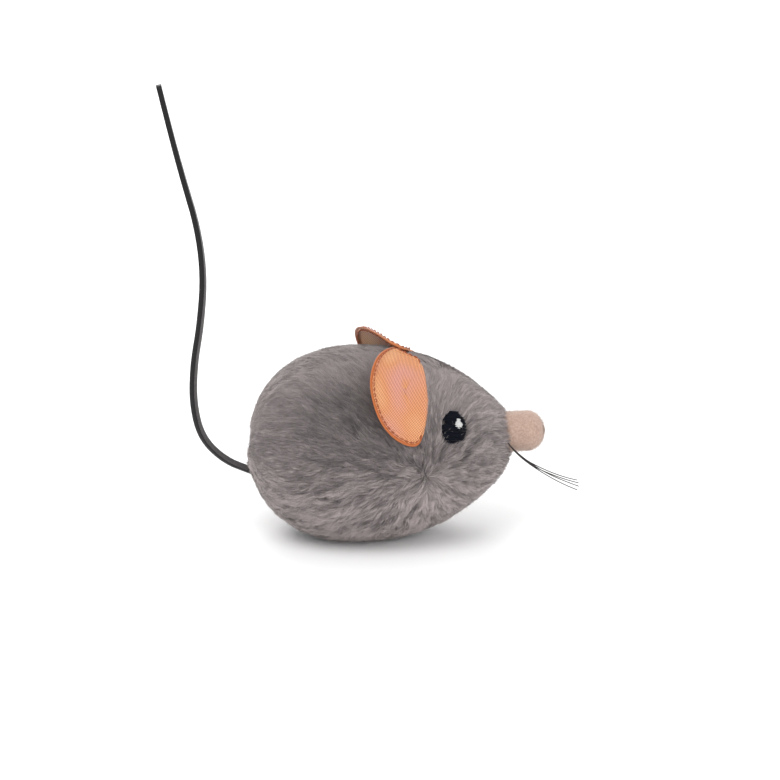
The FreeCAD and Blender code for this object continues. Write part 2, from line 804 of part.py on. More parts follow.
def stuffing(tail):
    fill = cavity().cut(rounded_tray(flange_lip, 0, flange_top)).cut(cap_block(0))
    for x, y in screw_places:
        fill = fill.cut(post(x, y, boss_radius, flange_top, flange_top + screw_length))
    fill = fill.cut(rod(arbor, sleeve_bore + sleeve_wall, 0, grommet_inner_y))
    fill = fill.cut(rod(arbor, grommet_radius, grommet_inner_y, far))
    return fill.cut(tail_knot()).cut(tail)


def cover_panel(side, shell, cutters):
    y0, y1 = side_band(side, 0, far)
    half = block(-far, far, y0, y1, 0, 2 * far)
    panel = above(shell, belly_seam_z).common(half)
    for cutter in cutters:
        panel = panel.cut(cutter)
    return panel


def belly_panel(shell):
    low = shell.common(block(-far, far, -far, far, 0, belly_seam_z))
    return low.cut(rounded_tray(0, 0, belly_seam_z + past))


os.makedirs("parts", exist_ok=True)

shell = cover_shell()
tail = tail_cord()
grommet_hole = rod(arbor, grommet_radius - grommet_lip, 0, far)
grommet_seat = rod(arbor, grommet_radius, 0, grommet_inner_y + grommet_washer)
save("cover_left", cover_panel(1, shell, [tail, grommet_hole, grommet_seat]))
save("cover_right", cover_panel(-1, shell, [tail]))
save("belly_panel", belly_panel(shell))
save("stuffing", stuffing(tail))
save("ear_right", ear(ear_right_x))
save("ear_left", mirrored(ear(ear_left_x)))
save("eye_right", eye_right())
save("eye_left", mirrored(eye_right()))
save("eye_glint_right", glint_right())
save("eye_glint_left", mirrored(glint_right()))
save("nose", nose())
save("whiskers_right", whiskers(-1, right_whisker_reach))
save("whiskers_left", whiskers(1, left_whisker_reach))
save("tail_cord", tail)
save("tail_knot", tail_knot().cut(tail))
for side, name in ((1, "left"), (-1, "right")):
    save("rear_wheel_" + name, rear_wheel(side))
    save("rear_tyre_" + name, rear_tyre(side))
    save("motor_plate_" + name, motor_plate(side))
save("rear_axle", rear_axle_rod())
save("axle_pinion", axle_pinion())
save("axle_bushes", axle_bushes())
save("front_roller", front_roller())
save("roller_tyre", roller_tyre())
save("roller_pin", roller_pin())
save("great_gear", great_gear())
save("idler_gear", idler_gear())
save("idler_pinion", idler_pinion())
save("idler_shaft", idler_shaft())
save("winding_arbor", winding_arbor())
save("ratchet_wheel", ratchet_wheel())
save("click", click())
save("click_rivet", click_rivet())
save("mainspring", mainspring())
save("winding_knob", winding_knob())
save("knob_grommet", knob_grommet())
save("arbor_sleeve", arbor_sleeve())
save("dust_cap", dust_cap())
save("cap_screws", cap_screws())
save("chassis", chassis())
save("plate_pillars", plate_pillars())
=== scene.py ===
from math import atan, cos, exp, pi, radians, sin, tan

import bpy
import numpy as np
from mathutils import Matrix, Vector, kdtree


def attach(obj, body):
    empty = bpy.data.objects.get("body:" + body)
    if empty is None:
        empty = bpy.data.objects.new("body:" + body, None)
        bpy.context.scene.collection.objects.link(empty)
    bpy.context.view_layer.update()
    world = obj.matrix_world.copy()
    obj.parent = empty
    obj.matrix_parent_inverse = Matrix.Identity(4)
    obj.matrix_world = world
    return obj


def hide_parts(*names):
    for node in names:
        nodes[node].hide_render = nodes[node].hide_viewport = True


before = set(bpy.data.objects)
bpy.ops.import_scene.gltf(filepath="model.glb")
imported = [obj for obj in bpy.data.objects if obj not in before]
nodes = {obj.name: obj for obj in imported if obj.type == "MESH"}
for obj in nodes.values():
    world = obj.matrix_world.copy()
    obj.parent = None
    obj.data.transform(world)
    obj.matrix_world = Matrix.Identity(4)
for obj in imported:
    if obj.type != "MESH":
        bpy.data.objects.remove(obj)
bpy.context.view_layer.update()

mm = 0.001


# ----------------------------------------------------------------------------------------------
# The camera: a long lens that looks at the mouse's right side from a little above it. The whole
# of the tail and the nose are in its square picture.
# ----------------------------------------------------------------------------------------------
camera_rise = radians(18)
camera_range = 3.0
picture_width = 0.2652
look_at = Vector((-8.2 * mm, 0, 50.8 * mm))
back_off = Vector((0, -cos(camera_rise), sin(camera_rise)))
camera = bpy.data.objects.new("camera", bpy.data.cameras.new("camera"))
camera.location = look_at + back_off * camera_range
camera.rotation_mode = "QUATERNION"
camera.rotation_quaternion = (-back_off).to_track_quat("-Z", "Y")
camera.data.angle = 2 * atan(picture_width / 2 / camera_range)
camera.data.clip_end = 20
bpy.context.collection.objects.link(camera)
bpy.context.scene.camera = camera


# ----------------------------------------------------------------------------------------------
# Tail: a length of 2 mm square-cut black lace, dyed and glazed on two faces, with two raw cut
# faces that are grey and fuzzy. It is knotted inside the rump and stands by its own stiffness.
# ----------------------------------------------------------------------------------------------
def new_material(name, colour, rough, **sockets):
    """A Principled material. Sockets are named with _ for each space."""
    material = bpy.data.materials.new(name)
    material.use_nodes = True
    shader = material.node_tree.nodes["Principled BSDF"]
    shader.inputs["Base Color"].default_value = (*colour, 1)
    shader.inputs["Roughness"].default_value = rough
    for socket, value in sockets.items():
        shader.inputs[socket.replace("_", " ")].default_value = value
    return material


def add_grain(material, scale, height, rough, stretch=(1, 1, 1)):
    """A noise in the material: a fine bump, and a roughness that varies between two values."""
    tree = material.node_tree
    shader = tree.nodes["Principled BSDF"]
    place = tree.nodes.new("ShaderNodeTexCoord")
    squeeze = tree.nodes.new("ShaderNodeMapping")
    squeeze.inputs["Scale"].default_value = stretch
    noise = tree.nodes.new("ShaderNodeTexNoise")
    noise.inputs["Scale"].default_value = scale
    noise.inputs["Detail"].default_value = 4
    bump = tree.nodes.new("ShaderNodeBump")
    bump.inputs["Distance"].default_value = height
    spread = tree.nodes.new("ShaderNodeMapRange")
    spread.inputs["To Min"].default_value = rough[0]
    spread.inputs["To Max"].default_value = rough[1]
    tree.links.new(place.outputs["Object"], squeeze.inputs["Vector"])
    tree.links.new(squeeze.outputs["Vector"], noise.inputs["Vector"])
    tree.links.new(noise.outputs["Fac"], bump.inputs["Height"])
    tree.links.new(bump.outputs["Normal"], shader.inputs["Normal"])
    tree.links.new(noise.outputs["Fac"], spread.inputs["Value"])
    tree.links.new(spread.outputs["Result"], shader.inputs["Roughness"])
    return noise


def add_mottle(material, noise, dark, light):
    """A base colour that runs from dark to light with a noise."""
    tree = material.node_tree
    ramp = tree.nodes.new("ShaderNodeValToRGB")
    for stop, position, colour in zip(ramp.color_ramp.elements, (0.35, 0.65), (dark, light)):
        stop.position = position
        stop.color = (*colour, 1)
    tree.links.new(noise.outputs["Fac"], ramp.inputs["Fac"])
    tree.links.new(ramp.outputs["Color"], tree.nodes["Principled BSDF"].inputs["Base Color"])


def finish(name, colour, rough, scale, height, dark=0.85, **sockets):
    """A moulded, turned or spun finish: grain, and a colour that is darker in places."""
    material = new_material(name, colour, rough, **sockets)
    noise = add_grain(material, scale, height * mm, (rough * 0.8, min(1, rough * 1.25)))
    add_mottle(material, noise, [c * dark for c in colour], colour)
    return material


def give(material, *names):
    """Put a material on CAD nodes whose shape is right as it is."""
    for name in names:
        slots = nodes[name].data.materials
        slots.clear()
        slots.append(material)


def new_piece(name, points, faces, *materials):
    """A smooth-shaded mesh from points in metres."""
    mesh = bpy.data.meshes.new(name)
    mesh.from_pydata(np.asarray(points, float).tolist(), [], [list(map(int, face)) for face in faces])
    for material in materials:
        mesh.materials.append(material)
    mesh.shade_smooth()
    thing = bpy.data.objects.new(name, mesh)
    bpy.context.collection.objects.link(thing)
    return thing


def fit(thing, body, slot, *replaced):
    """Fix a piece to a body, and let it stand for CAD nodes, which are hidden. The slot is not used."""
    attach(thing, body)
    if replaced:
        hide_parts(*replaced)


def unit(vectors):
    return vectors / np.linalg.norm(vectors, axis=-1, keepdims=True)


def smooth_route(points, samples):
    """The points along a smooth line, from its control points."""
    curve = bpy.data.curves.new("route", "CURVE")
    curve.dimensions = "3D"
    spline = curve.splines.new("NURBS")
    spline.points.add(len(points) - 1)
    for knot, point in zip(spline.points, points):
        knot.co = (*point, 1)
    spline.order_u = 3
    spline.use_endpoint_u = True
    curve.resolution_u = samples
    holder = bpy.data.objects.new("route", curve)
    mesh = bpy.data.meshes.new_from_object(holder)
    line = np.array([v.co for v in mesh.vertices])
    bpy.data.objects.remove(holder)
    return line


def loft(line, sections, up=(0, 1, 0)):
    """Rings of points: at each point of a line, a section's (across, above) offsets."""
    along = unit(np.gradient(line, axis=0))
    across = unit(np.cross(along, np.array(up, float)))
    above = np.cross(across, along)
    sections = np.broadcast_to(sections, (len(line), *np.shape(sections)[-2:]))
    return line[:, None] + across[:, None] * sections[..., :1] + above[:, None] * sections[..., 1:]


def loft_faces(rings, sides, start=0):
    """Quads between the rings, and a face over each end."""
    faces = []
    last = start + (rings - 1) * sides
    for ring in range(start, last, sides):
        for j in range(sides):
            k = (j + 1) % sides
            faces.append([ring + j, ring + k, ring + sides + k, ring + sides + j])
    faces.append([start + j for j in reversed(range(sides))])
    faces.append([last + j for j in range(sides)])
    return faces


def circle(radius, sides):
    turn = np.linspace(0, 2 * pi, sides, endpoint=False)
    return radius * np.stack([np.cos(turn), np.sin(turn)], -1)


lace_width = 2.0 * mm
lace_roughness = 0.010 * mm
raw_sides = (5, 11)
tail_points = [
    (-0.0484, 0.0, 0.0194),
    (-0.0565, -0.0003, 0.0224),
    (-0.0648, -0.0005, 0.0260),
    (-0.0724, -0.0010, 0.0340),
    (-0.0752, -0.0006, 0.0460),
    (-0.0749, 0.0004, 0.0595),
    (-0.0724, 0.0010, 0.0745),
    (-0.0712, 0.0006, 0.0915),
    (-0.0732, 0.0, 0.1085),
    (-0.0779, -0.0006, 0.1255),
    (-0.0822, -0.0010, 0.1425),
    (-0.0860, -0.0016, 0.1590),
]
tail_line = smooth_route(tail_points, 14)

# A rounded square, which twists as the lace does and thins a little to its cut end.
lace_corner = 0.14 * lace_width
lace_section = []
for quarter in range(4):
    for angle in np.radians([10, 45, 80]) + quarter * pi / 2:
        corner = (0.5 * lace_width - lace_corner) * np.sign([cos(angle), sin(angle)])
        lace_section.append(corner + lace_corner * np.array([cos(angle), sin(angle)]))
along_tail = np.linspace(0, 1, len(tail_line))
lace_twist = np.radians(np.interp(along_tail, [0, 0.12, 0.3, 0.55, 0.75, 1], [60, 54, 40, 40, 12, 0]))
lace_share = np.interp(along_tail, [0, 0.2, 0.6, 1], [1.14, 1.06, 1.0, 0.92])
lace_rings = []
for twist, share in zip(lace_twist, lace_share):
    turn = np.array([[cos(twist), sin(twist)], [-sin(twist), cos(twist)]])
    lace_rings.append(np.array(lace_section) @ turn * share)
lace_points = loft(tail_line, lace_rings)
lace_points += np.random.default_rng(5).normal(0, lace_roughness, lace_points.shape)

lace_glazed = new_material("lace_glazed", (0.007, 0.006, 0.007), 0.5, Specular_IOR_Level=0.25)
add_grain(lace_glazed, 2600, 0.02 * mm, (0.42, 0.60), stretch=(1, 1, 0.3))
lace_raw = new_material("lace_raw", (0.09, 0.08, 0.085), 0.85, Sheen_Weight=0.4)
raw_grain = add_grain(lace_raw, 4200, 0.05 * mm, (0.75, 0.95))
add_mottle(lace_raw, raw_grain, (0.03, 0.027, 0.028), (0.085, 0.075, 0.076))

lace_sides = len(lace_section)
tail_faces = loft_faces(len(tail_line), lace_sides)
tail = new_piece("tail_lace", lace_points.reshape(-1, 3), tail_faces, lace_glazed, lace_raw)
for number, face in enumerate(tail.data.polygons):
    is_side = number < (len(tail_line) - 1) * lace_sides
    face.use_smooth = is_side
    face.material_index = int(is_side and number % lace_sides in raw_sides)

# The knot is hidden in the rump: a trefoil of the same lace, pulled tight.
knot_size = 0.42
knot_sides = 10
knot_turn = np.linspace(0, 2 * pi, 97)
knot_loop = np.stack([
    np.sin(knot_turn) + 2 * np.sin(2 * knot_turn),
    np.cos(knot_turn) - 2 * np.cos(2 * knot_turn),
    -1.6 * np.sin(3 * knot_turn),
], -1)
knot_line = np.array(tail_points[0]) + knot_loop * knot_size * mm
knot_rings = loft(knot_line, circle(0.7 * mm, knot_sides), (0.1, 0.2, 1))
knot_faces = loft_faces(len(knot_line), knot_sides)
knot = new_piece("tail_lace_knot", knot_rings.reshape(-1, 3), knot_faces, lace_glazed)
fit(knot, "body", "black_lace", "tail_knot")
fit(tail, "body", "black_lace", "tail_cord")


# ----------------------------------------------------------------------------------------------
# Clockwork: stamped brass gears and pinions on bright ground shafts, a blued mainspring and its
# ratchet and click, between two zinc-plated steel plates that are riveted to four pillars.
# ----------------------------------------------------------------------------------------------
give(finish("stamped_brass", (0.72, 0.50, 0.20), 0.3, 1200, 0.004, Metallic=1.0),
     "axle_bushes", "great_gear", "idler_gear", "idler_pinion", "axle_pinion")
give(finish("ground_steel", (0.68, 0.68, 0.69), 0.2, 3000, 0.003, Metallic=1.0),
     "roller_pin", "rear_axle", "idler_shaft", "winding_arbor", "click_rivet")
give(finish("blued_steel", (0.09, 0.11, 0.20), 0.3, 1500, 0.003, Metallic=1.0),
     "mainspring", "click", "ratchet_wheel")
give(finish("zinc_plate", (0.62, 0.62, 0.60), 0.36, 1500, 0.005, Metallic=1.0),
     "motor_plate_left", "motor_plate_right", "plate_pillars", "cap_screws")


# ----------------------------------------------------------------------------------------------
# Wheels: moulded plastic rims with black rubber tyres pressed on. Two drive wheels are fixed to
# the rear axle, and a broad roller turns on a pin under the chest.
# ----------------------------------------------------------------------------------------------
give(finish("wheel_plastic", (0.70, 0.68, 0.62), 0.4, 1200, 0.008, dark=0.93),
     "rear_wheel_left", "rear_wheel_right", "front_roller")
give(finish("tyre_rubber", (0.018, 0.018, 0.018), 0.8, 3500, 0.03),
     "rear_tyre_left", "rear_tyre_right", "roller_tyre")


# ----------------------------------------------------------------------------------------------
# Chassis, cap and knob: a moulded black floor that closes the belly, and a white cap screwed to
# it over the motor, to keep the loose fibre filling out. A sleeve and a grommet lead the winding
# shaft through the filling to its white knob.
# ----------------------------------------------------------------------------------------------
give(finish("black_moulding", (0.020, 0.020, 0.022), 0.5, 2500, 0.01), "chassis")
give(finish("white_moulding", (0.60, 0.58, 0.54), 0.35, 900, 0.01, dark=0.9),
     "dust_cap", "arbor_sleeve", "knob_grommet", "winding_knob")
give(finish("fibre_filling", (0.82, 0.82, 0.80), 0.9, 700, 0.4), "stuffing")


# ----------------------------------------------------------------------------------------------
# Cover backing: the knitted ground of the faux fur, cut as two sides and a belly panel, and sewn
# into a teardrop with an opening for the chassis. It is only seen between the fibres.
# ----------------------------------------------------------------------------------------------
body_radius = 33.2
rump_length = 37.4
snout_length = 51.6
rump_fullness = 2.25
snout_fullness = 1.85
widest_x = -18.4
axis_z = 32.0
nose_up = radians(1.7)
backing_depth = 2.3
backing_thickness = 0.7
belly_z = 3.5
tray_rear_x, tray_front_x, tray_half_width = -38.6, 2.0, 11.0
tray_corner_rear, tray_corner_front = 6.0, 8.0


def radius_at(x, inset):
    """The cover's radius at a station on its own axis, that far inside the tips of the pile."""
    x = np.asarray(x, float)
    reach = np.where(x < widest_x, rump_length, snout_length) - inset
    fullness = np.where(x < widest_x, rump_fullness, snout_fullness)
    share = np.clip(np.abs(x - widest_x) / reach, 0, 1)
    return (body_radius - inset) * (1 - share ** fullness) ** (1 / fullness)


def lift_nose(points):
    """Turn points about the widest part of the body, as the standing mouse lifts its nose."""
    turned = np.array(points, float)
    x = turned[..., 0] - widest_x
    z = turned[..., 2] - axis_z
    turned[..., 0] = widest_x + x * cos(nose_up) - z * sin(nose_up)
    turned[..., 2] = axis_z + x * sin(nose_up) + z * cos(nose_up)
    return turned


def round_body(x, angle, radius):
    """A point round the body's axis: angle 0 is the right flank, and 90 degrees is the top."""
    return np.stack([x + 0 * angle, -radius * np.cos(angle), axis_z + radius * np.sin(angle)], -1)


def over_tray(x, y, grow=0.0):
    """Whether points lie over the chassis, which has rounded corners."""
    middle = (tray_rear_x + tray_front_x) / 2
    corner = np.where(x < middle, tray_corner_rear, tray_corner_front)
    beyond_x = np.abs(x - middle) - ((tray_front_x - tray_rear_x) / 2 + grow - corner)
    beyond_y = np.abs(y) - (tray_half_width + grow - corner)
    return np.hypot(np.maximum(beyond_x, 0), np.maximum(beyond_y, 0)) < corner


rings, columns = 150, 220
end_hole = 0.05
stations = np.linspace(0, pi, rings)
backing_middle = widest_x + (snout_length - rump_length) / 2
backing_half = (snout_length + rump_length) / 2 - backing_depth
backing_x = backing_middle - backing_half * np.cos(stations)
backing_r = radius_at(backing_x, backing_depth)
backing_r[[0, -1]] = end_hole
around = np.linspace(0, 2 * pi, columns, endpoint=False)
grid = lift_nose(round_body(backing_x[:, None], around[None], backing_r[:, None]))
grid[..., 2] = np.maximum(grid[..., 2], belly_z)
backing_faces = []
for i in range(rings - 1):
    for j in range(columns):
        k = (j + 1) % columns
        corners = [(i, j), (i + 1, j), (i + 1, k), (i, k)]
        x, y, z = np.mean([grid[c] for c in corners], axis=0)
        if z > belly_z + 0.01 or not over_tray(x, y):
            backing_faces.append([a * columns + b for a, b in corners])

knit = new_material("knitted_backing", (0.14, 0.13, 0.13), 0.95, Sheen_Weight=0.3)
knit_grain = add_grain(knit, 900, 0.15 * mm, (0.85, 1.0))
add_mottle(knit, knit_grain, (0.085, 0.078, 0.076), (0.17, 0.155, 0.15))
backing = new_piece("plush_backing", grid.reshape(-1, 3) * mm, backing_faces, knit)
backing_cloth = backing.modifiers.new("cloth", "SOLIDIFY")
backing_cloth.thickness = backing_thickness * mm
backing_cloth.offset = -1
fit(backing, "body", "grey_plush", "cover_left", "cover_right", "belly_panel")


# ----------------------------------------------------------------------------------------------
# Pile: the fine grey fibres of the faux fur. They part in a whorl low on each cheek and run
# away from it over the flank. They lie smooth on the back, and in longer locks low on the side.
# ----------------------------------------------------------------------------------------------
pile_rng = np.random.default_rng(11)
pile_count = 320000
piece_limit = 39000
fibre_width = 0.125
fibre_length, face_trim, shaggy_growth = 4.9, 1.5, 1.4
slope_step, steepest = 0.02, 12
stray_share = 0.06
whorl_x, whorl_angle = 3.7, radians(-8)
tuft_size, lock_size = 12, 110
tone_greys = [0.075, 0.11, 0.15, 0.20, 0.255, 0.32, 0.40, 0.50]
tone_tint = np.array([1.0, 0.87, 0.86])


def waves(points, length, seed, count=7):
    """A smooth random field, from about -1 to 1, made of sine waves in random directions."""
    rng = np.random.default_rng(seed)
    total = np.zeros(len(points))
    for _ in range(count):
        direction = unit(rng.normal(size=3)) * 2 * pi / (length * rng.uniform(0.7, 1.4))
        total += np.sin(points @ direction + rng.uniform(0, 2 * pi))
    return total / (0.7 * count)


def streaks(points, direction, width, length, seed):
    """A random field drawn out along a direction, with a spread of about 1."""
    total = sum(waves(points + direction * length * t, width, seed, 36) for t in np.linspace(-0.5, 0.5, 7))
    return total / total.std()


def fade(value, start, width):
    """0 up to a start, 1 beyond its width, and a straight fade between."""
    return np.clip((value - start) / width, 0, 1)


def nearest_leader(points, leaders):
    """The number of the leader that stands nearest to each point."""
    tree = kdtree.KDTree(len(leaders))
    for number, leader in enumerate(leaders):
        tree.insert(points[leader], number)
    tree.balance()
    return np.array([tree.find(point)[1] for point in points])


# Roots are spread evenly over the backing.
fine_x = np.linspace(widest_x - rump_length + backing_depth, widest_x + snout_length - backing_depth, 3000)
fine_r = radius_at(fine_x, backing_depth)
strip = fine_r[:-1] * np.hypot(np.diff(fine_x), np.diff(fine_r))
area_so_far = np.concatenate([[0], np.cumsum(strip)])
root_x = np.interp(pile_rng.uniform(0, area_so_far[-1], pile_count), area_so_far, fine_x)
root_angle = pile_rng.uniform(-pi, pi, pile_count)
root_r = radius_at(root_x, backing_depth)
slope = radius_at(root_x + slope_step, backing_depth) - radius_at(root_x - slope_step, backing_depth)
slope /= 2 * slope_step
slope = np.clip(slope, -steepest, steepest)
ahead, side_cos, side_sin = np.ones(pile_count), np.cos(root_angle), np.sin(root_angle)
root = round_body(root_x, root_angle, root_r)
outward = unit(np.stack([-slope, -side_cos, side_sin], -1))
toward_nose = unit(np.stack([ahead, -slope * side_cos, slope * side_sin], -1))
toward_top = np.stack([0 * ahead, side_sin, side_cos], -1)

# Both flanks are described as the right one: the angle is folded over at the back and belly.
right = np.abs(root_angle) < pi / 2
flank_angle = np.where(right, root_angle, np.sign(root_angle) * pi - root_angle)
toward_top *= np.where(right, 1, -1)[:, None]
on_face = fade(root_x, 4, 12)
tip_of_snout = fade(root_x, 23, 6)
shaggy = fade(-flank_angle, -radians(12), radians(35)) * (1 - 0.6 * on_face)
sleek = fade(flank_angle, radians(15), radians(40))

# The comb: away from the whorl, and straight back along the spine.
whorl_dx = root_x - whorl_x
whorl_dy = root_r * np.sin(flank_angle) - radius_at(whorl_x, backing_depth) * sin(whorl_angle)
whorl_distance = np.hypot(whorl_dx, whorl_dy) + 0.3
near_spine = fade(flank_angle, radians(62), radians(28))
comb_x = whorl_dx / whorl_distance * (1 - near_spine) + (2.4 * on_face - 1.2) * near_spine - 0.15
comb_up = whorl_dy / whorl_distance * (1 - near_spine) - 0.12
swirl = 0.34 * waves(root, 17, 1) + 0.34 * waves(root, 6, 2) + pile_rng.normal(0, 0.16, pile_count)
swirl += 1.3 * np.exp(-(whorl_distance / 7) ** 2) * waves(root, 6, 9)
swirled_x = comb_x * np.cos(swirl) - comb_up * np.sin(swirl)
swirled_up = comb_x * np.sin(swirl) + comb_up * np.cos(swirl)
lean = unit(toward_nose * swirled_x[:, None] + toward_top * swirled_up[:, None])
lean = unit(lean * (1 - tip_of_snout[:, None]) + np.array([0.9, 0, 0]) * tip_of_snout[:, None])

# Each fibre rises from its root and bends over, in three steps.
tip_growth = np.where(root[:, 2] > axis_z + 1, -0.2, -1.3) * tip_of_snout
length = fibre_length - face_trim * on_face + shaggy_growth * shaggy + tip_growth
length *= pile_rng.uniform(0.80, 1.10, pile_count)
length *= 1 + 0.08 * waves(root, 7, 3)
stray = pile_rng.random(pile_count) < stray_share
rise = radians(56) + 0.18 * on_face + pile_rng.normal(0, 0.10, pile_count)
droop = radians(13) + 0.25 * on_face + 0.16 * waves(root, 4, 4)
droop += pile_rng.normal(0, 0.10, pile_count) + 0.40 * stray
strand = [root]
for share in (0.15, 0.55, 1.0):
    lift = rise + (droop - rise) * share
    step = outward * np.sin(lift)[:, None] + lean * np.cos(lift)[:, None]
    strand.append(strand[-1] + step * (length / 3)[:, None])
strand = np.stack(strand, 1)

# Fibres gather into fine tufts everywhere, and the shaggy ones into locks as well.
tuft_leaders = np.arange(0, pile_count, tuft_size)
lock_leaders = np.arange(0, pile_count, lock_size)
tuft = nearest_leader(root, tuft_leaders)
lock = nearest_leader(root, lock_leaders)
lock_pull, tuft_pull = 0.15 + 0.40 * shaggy, 0.35 + 0.20 * shaggy
for leaders, group, pull in ((lock_leaders, lock, lock_pull), (tuft_leaders, tuft, tuft_pull)):
    toward_leader = strand[leaders[group], 3] - strand[:, 3]
    strand[:, 3] += pull[:, None] * toward_leader
    strand[:, 2] += 0.4 * pull[:, None] * toward_leader

# No tip stands beyond the outline that the shears leave.
tip_r = np.hypot(strand[:, 3, 1], strand[:, 3, 2] - axis_z)
sheared_r = radius_at(np.clip(strand[:, 3, 0], -55, 33), 0) + 0.5 + 0.8 * stray
trim = np.minimum(1, sheared_r / np.maximum(tip_r, 0.01))
trim = np.where(tip_of_snout > 0, 1, trim)
strand[:, 3, 1] *= trim
strand[:, 3, 2] = axis_z + (strand[:, 3, 2] - axis_z) * trim

# Ear pattern, as (x, height) seen level with the ear's own middle, round from the front edge.
ear_front = {"right": 4.6, "left": 1.4}
ear_side = {"right": -1, "left": 1}
ear_stand_off = radians(28)
ear_tilt = radians(18)
ear_top, ear_bottom = 32.4, -1.4
ear_depth = {"right": 19.5, "left": 21.6}
ear_thickness = 2.8
ear_sink = 0.7


def ear_under_radius(x, front_x):
    """The radius of an ear's underside about the body's axis: a cone that opens to the rear."""
    return radius_at(front_x, 0.9) - ear_sink + tan(ear_stand_off) * (front_x - x)


def ear_outline(hand, samples):
    """The ear's rim as a closed smooth line of (x, height) points."""
    front_x = ear_front[hand]
    tall = ear_top - ear_bottom
    back = front_x - ear_depth[hand]
    corners = np.array([
        (front_x - 0.2, ear_bottom + 0.30 * tall),
        (front_x, ear_bottom + 0.55 * tall),
        (front_x - 2.2, ear_bottom + 0.84 * tall),
        (front_x - 9.5, ear_top),
        (back + 3.0, ear_bottom + 0.92 * tall),
        (back, ear_bottom + 0.64 * tall),
        (back + 2.6, ear_bottom + 0.28 * tall),
        (back + 8.6, ear_bottom + 0.05 * tall),
        (front_x - 3.6, ear_bottom),
    ])
    count = len(corners)
    place = np.arange(samples) * count / samples
    index = place.astype(int)
    t = (place - index)[:, None]
    p0, p1, p2, p3 = [corners[(index + k) % count] for k in (-1, 0, 1, 2)]
    return 0.5 * (2 * p1 + (p2 - p0) * t + (2 * p0 - 5 * p1 + 4 * p2 - p3) * t ** 2
                  + (3 * p1 - p0 - 3 * p2 + p3) * t ** 3)


def inside(outline, x, height):
    """Whether points lie inside a closed outline."""
    hit = np.zeros(len(x), bool)
    for (x0, h0), (x1, h1) in zip(outline, np.roll(outline, -1, axis=0)):
        hit ^= ((h0 > height) != (h1 > height)) & (x < x0 + (height - h0) * (x1 - x0) / (h1 - h0 + 1e-12))
    return hit


# The pile makes room for the chassis, the eyes, the nose, the knob and the ears.
eye_x, eye_angle = 13.6, radians(28)
eye_width, eye_height = 8.2, 11.2
nose_radius, nose_rise = 7.0, 2.6
knob_x, knob_z = -12.49, 21.8
knob_inner_y, knob_clear = 31.0, 5.4
grommet_clear, shaft_clear = 3.4, 2.6
keep = np.ones(pile_count, bool)
standing = lift_nose(strand)
keep &= ~((standing[:, 0, 2] < belly_z + 1.5) & over_tray(standing[:, 0, 0], standing[:, 0, 1], 0.4))
thinned = pile_rng.random(pile_count)
for k in range(4):
    x, y, z = strand[:, k, 0], strand[:, k, 1], strand[:, k, 2] - axis_z
    r = np.hypot(y, z)
    side_angle = np.arctan2(z, np.abs(y))
    from_eye = np.hypot((x - eye_x) / eye_width, r * (side_angle - eye_angle) / eye_height) * 2
    keep &= ~((from_eye < (0.98 if k < 3 else 0.90)) & (thinned > 0.006))
    from_nose = np.maximum(np.hypot(y, z - nose_rise), 0.01)
    if k == 0:
        keep &= from_nose > nose_radius - 0.6
    over_nose = np.where((x > 26) & (from_nose < nose_radius + 0.1), (nose_radius + 0.1) / from_nose, 1)
    strand[:, k, 1] = y * over_nose
    strand[:, k, 2] = axis_z + nose_rise + (z - nose_rise) * over_nose
    y, z = strand[:, k, 1], strand[:, k, 2] - axis_z
    from_knob = np.hypot(standing[:, k, 0] - knob_x, standing[:, k, 2] - knob_z)
    keep &= ~((standing[:, k, 1] > 0) & (from_knob < (grommet_clear if k == 0 else shaft_clear)))
    keep &= ~((standing[:, k, 1] > knob_inner_y) & (from_knob < knob_clear))
    for hand, front_x in ear_front.items():
        height = r * np.sin(side_angle - ear_tilt)
        under = (np.sign(y) == ear_side[hand]) & inside(ear_outline(hand, 60), x, height)
        ceiling = ear_under_radius(x, front_x) - 0.25
        keep &= ~(under & (ceiling < root_r + 0.4))
        squeeze = np.where(under & (r > ceiling), ceiling / np.maximum(r, 0.01), 1.0)
        strand[:, k, 1] *= squeeze
        strand[:, k, 2] = axis_z + (strand[:, k, 2] - axis_z) * squeeze
standing = lift_nose(strand)
below_belly = standing[:, 0, 2] < belly_z
standing[below_belly, :, 2] += (belly_z - standing[below_belly, 0, 2])[:, None]
floor_gap = 0.3 + 0.5 * pile_rng.random(pile_count)
standing[..., 2] = np.maximum(standing[..., 2], floor_gap[:, None])
pivot = np.array([widest_x, 0, axis_z])
outward = lift_nose(outward + pivot) - pivot

# The fibres are sorted into shades of grey: even on the back, and streaked low on the flank, with painted
# light and shade laid over that.
tone_rng = np.random.default_rng(12)
tuft_tone = tone_rng.normal(size=len(tuft_leaders))[tuft]
lock_tone = tone_rng.normal(size=len(lock_leaders))[lock]
fibre_tone = pile_rng.normal(size=pile_count)
contrast = (0.62 + 0.5 * np.maximum(shaggy, 0.45 * on_face)) * (1 - 0.25 * sleek)
tone = contrast * (0.45 * tuft_tone + 0.35 * lock_tone * shaggy + 0.35 * fibre_tone)
tone += contrast * 0.62 * streaks(root, lean, 1.1, 6, 7)
tone += contrast * (0.25 + 0.40 * shaggy) * streaks(root, lean, 3.2, 13, 8)
# Painted light and shade in the fibre greys: a patch of painted shade in the middle of the flank behind the
# ear, and painted light on the low flank and belly (shaggy) and along the top of the back (sleek).
painted_flank_shade = np.exp(-((root_x + 20) / 22) ** 2 - ((flank_angle - radians(25)) / radians(34)) ** 2)
tone += 0.20 * waves(root, 12, 6) + 1.15 * shaggy + 0.65 * sleek * (1 - painted_flank_shade) - 0.85 * painted_flank_shade
shade = np.clip(np.round(3.7 + 1.9 * tone), 0, len(tone_greys) - 1).astype(int)


